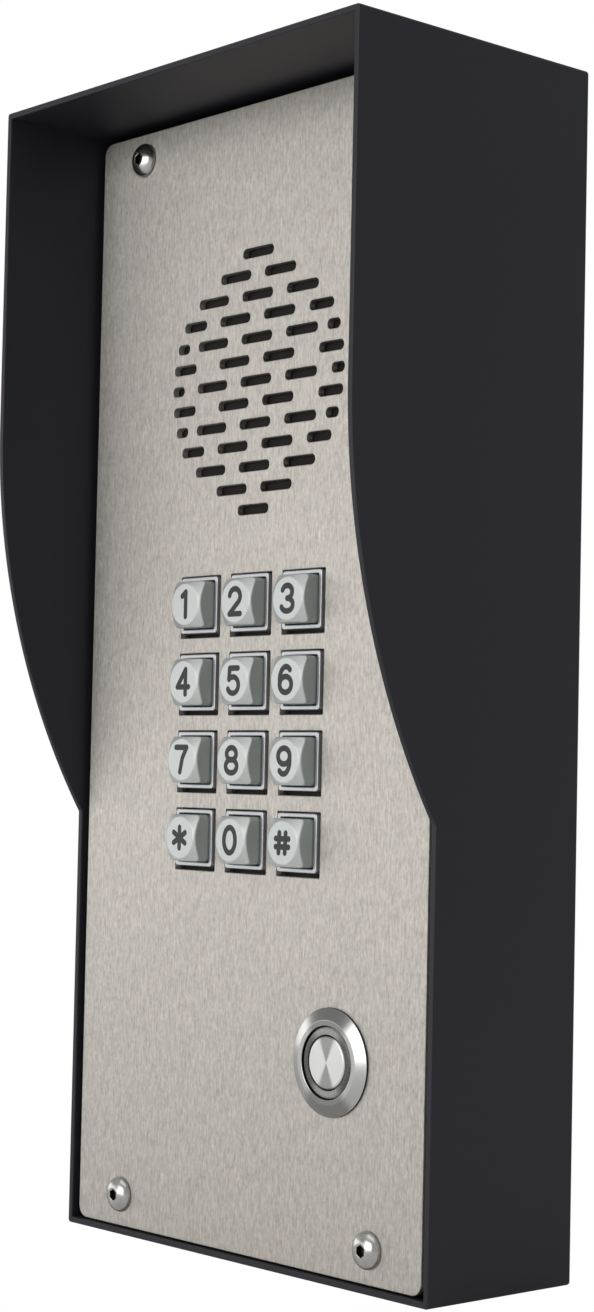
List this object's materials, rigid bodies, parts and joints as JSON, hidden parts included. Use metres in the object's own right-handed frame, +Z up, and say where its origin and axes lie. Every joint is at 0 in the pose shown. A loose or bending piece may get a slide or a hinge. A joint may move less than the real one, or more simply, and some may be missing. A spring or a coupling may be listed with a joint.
{
  "type": "door intercom panel",
  "caption": "Surface-mounted door intercom: hooded steel housing with a brushed front plate, slotted speaker grille, metal keypad and call button.",
  "frame": {"origin": "centre of the housing's rear face, where it meets the wall", "axes": "+Y into the wall, +Z up, +X to the right seen from the street; the front faces -Y"},
  "size_m": [0.1314, 0.074, 0.2824],
  "materials": {
    "housing": "satin anthracite powder coat",
    "front_plate": "vertical brushed grain",
    "screws": "polished stainless",
    "plated": "zinc plated",
    "black_rubber": "matte",
    "grey_rubber": "matte silicone",
    "casting": "satin-plated die casting",
    "keys": "satin-plated die casting",
    "circuit_board": "solder resist",
    "cloth": "woven speaker cloth",
    "cone": "coated paper",
    "ferrite": "ferrite",
    "button_steel": "turned stainless",
    "light_ring": "translucent lens",
    "black_plastic": "moulded",
    "nylon": "natural nylon",
    "relay_case": "moulded",
    "terminal_block": "moulded",
    "grey_lead": "PVC insulation",
    "red_lead": "PVC insulation"
  },
  "bodies": {
    "root": {"housing": "housing", "front_plate": "front_plate", "plate_screw_top_left": "screws", "plate_screw_top_right": "screws", "plate_screw_bottom_left": "screws", "plate_screw_bottom_right": "screws", "plate_pillar_top_left": "plated", "plate_pillar_top_right": "plated", "plate_pillar_bottom_left": "plated", "plate_pillar_bottom_right": "plated", "cable_grommet": "black_rubber", "keypad_gasket": "grey_rubber", "keypad_casting": "casting", "keypad_mat": "grey_rubber", "keypad_board": "circuit_board", "keypad_nut_1": "plated", "keypad_nut_2": "plated", "keypad_nut_3": "plated", "keypad_nut_4": "plated", "grille_cloth": "cloth", "speaker_gasket": "black_rubber", "speaker_frame": "plated", "speaker_cone": "cone", "speaker_magnet": "ferrite", "speaker_clamp_1": "plated", "speaker_clamp_2": "plated", "speaker_nut_1": "plated", "speaker_nut_2": "plated", "microphone": "plated", "microphone_boot": "black_rubber", "button_bezel": "button_steel", "button_light_ring": "light_ring", "button_seal": "black_rubber", "button_nut": "plated", "button_switch": "black_plastic", "main_board": "circuit_board", "board_spacer_1": "nylon", "board_spacer_2": "nylon", "board_spacer_3": "nylon", "board_spacer_4": "nylon", "relay": "relay_case", "terminal_block": "terminal_block", "reservoir_capacitor": "black_plastic", "keypad_ribbon": "grey_lead", "speaker_lead": "red_lead", "button_lead": "red_lead"},
    "key_1": {"key_1": "keys"},
    "key_2": {"key_2": "keys"},
    "key_3": {"key_3": "keys"},
    "key_4": {"key_4": "keys"},
    "key_5": {"key_5": "keys"},
    "key_6": {"key_6": "keys"},
    "key_7": {"key_7": "keys"},
    "key_8": {"key_8": "keys"},
    "key_9": {"key_9": "keys"},
    "key_star": {"key_star": "keys"},
    "key_0": {"key_0": "keys"},
    "key_hash": {"key_hash": "keys"},
    "button_actuator": {"button_actuator": "button_steel"}
  },
  "joints": [
    {"name": "key_1_press", "type": "slide", "parent": "root", "child": "key_1", "axis": [0, 1, 0], "range_m": [0, 0.0012], "stiffness_N_per_m": 800, "springref_m": -0.0012},
    {"name": "key_2_press", "type": "slide", "parent": "root", "child": "key_2", "axis": [0, 1, 0], "range_m": [0, 0.0012], "stiffness_N_per_m": 800, "springref_m": -0.0012},
    {"name": "key_3_press", "type": "slide", "parent": "root", "child": "key_3", "axis": [0, 1, 0], "range_m": [0, 0.0012], "stiffness_N_per_m": 800, "springref_m": -0.0012},
    {"name": "key_4_press", "type": "slide", "parent": "root", "child": "key_4", "axis": [0, 1, 0], "range_m": [0, 0.0012], "stiffness_N_per_m": 800, "springref_m": -0.0012},
    {"name": "key_5_press", "type": "slide", "parent": "root", "child": "key_5", "axis": [0, 1, 0], "range_m": [0, 0.0012], "stiffness_N_per_m": 800, "springref_m": -0.0012},
    {"name": "key_6_press", "type": "slide", "parent": "root", "child": "key_6", "axis": [0, 1, 0], "range_m": [0, 0.0012], "stiffness_N_per_m": 800, "springref_m": -0.0012},
    {"name": "key_7_press", "type": "slide", "parent": "root", "child": "key_7", "axis": [0, 1, 0], "range_m": [0, 0.0012], "stiffness_N_per_m": 800, "springref_m": -0.0012},
    {"name": "key_8_press", "type": "slide", "parent": "root", "child": "key_8", "axis": [0, 1, 0], "range_m": [0, 0.0012], "stiffness_N_per_m": 800, "springref_m": -0.0012},
    {"name": "key_9_press", "type": "slide", "parent": "root", "child": "key_9", "axis": [0, 1, 0], "range_m": [0, 0.0012], "stiffness_N_per_m": 800, "springref_m": -0.0012},
    {"name": "key_star_press", "type": "slide", "parent": "root", "child": "key_star", "axis": [0, 1, 0], "range_m": [0, 0.0012], "stiffness_N_per_m": 800, "springref_m": -0.0012},
    {"name": "key_0_press", "type": "slide", "parent": "root", "child": "key_0", "axis": [0, 1, 0], "range_m": [0, 0.0012], "stiffness_N_per_m": 800, "springref_m": -0.0012},
    {"name": "key_hash_press", "type": "slide", "parent": "root", "child": "key_hash", "axis": [0, 1, 0], "range_m": [0, 0.0012], "stiffness_N_per_m": 800, "springref_m": -0.0012},
    {"name": "call_button_press", "type": "slide", "parent": "root", "child": "button_actuator", "axis": [0, 1, 0], "range_m": [0, 0.0016], "stiffness_N_per_m": 1200, "springref_m": -0.0015}
  ]
}
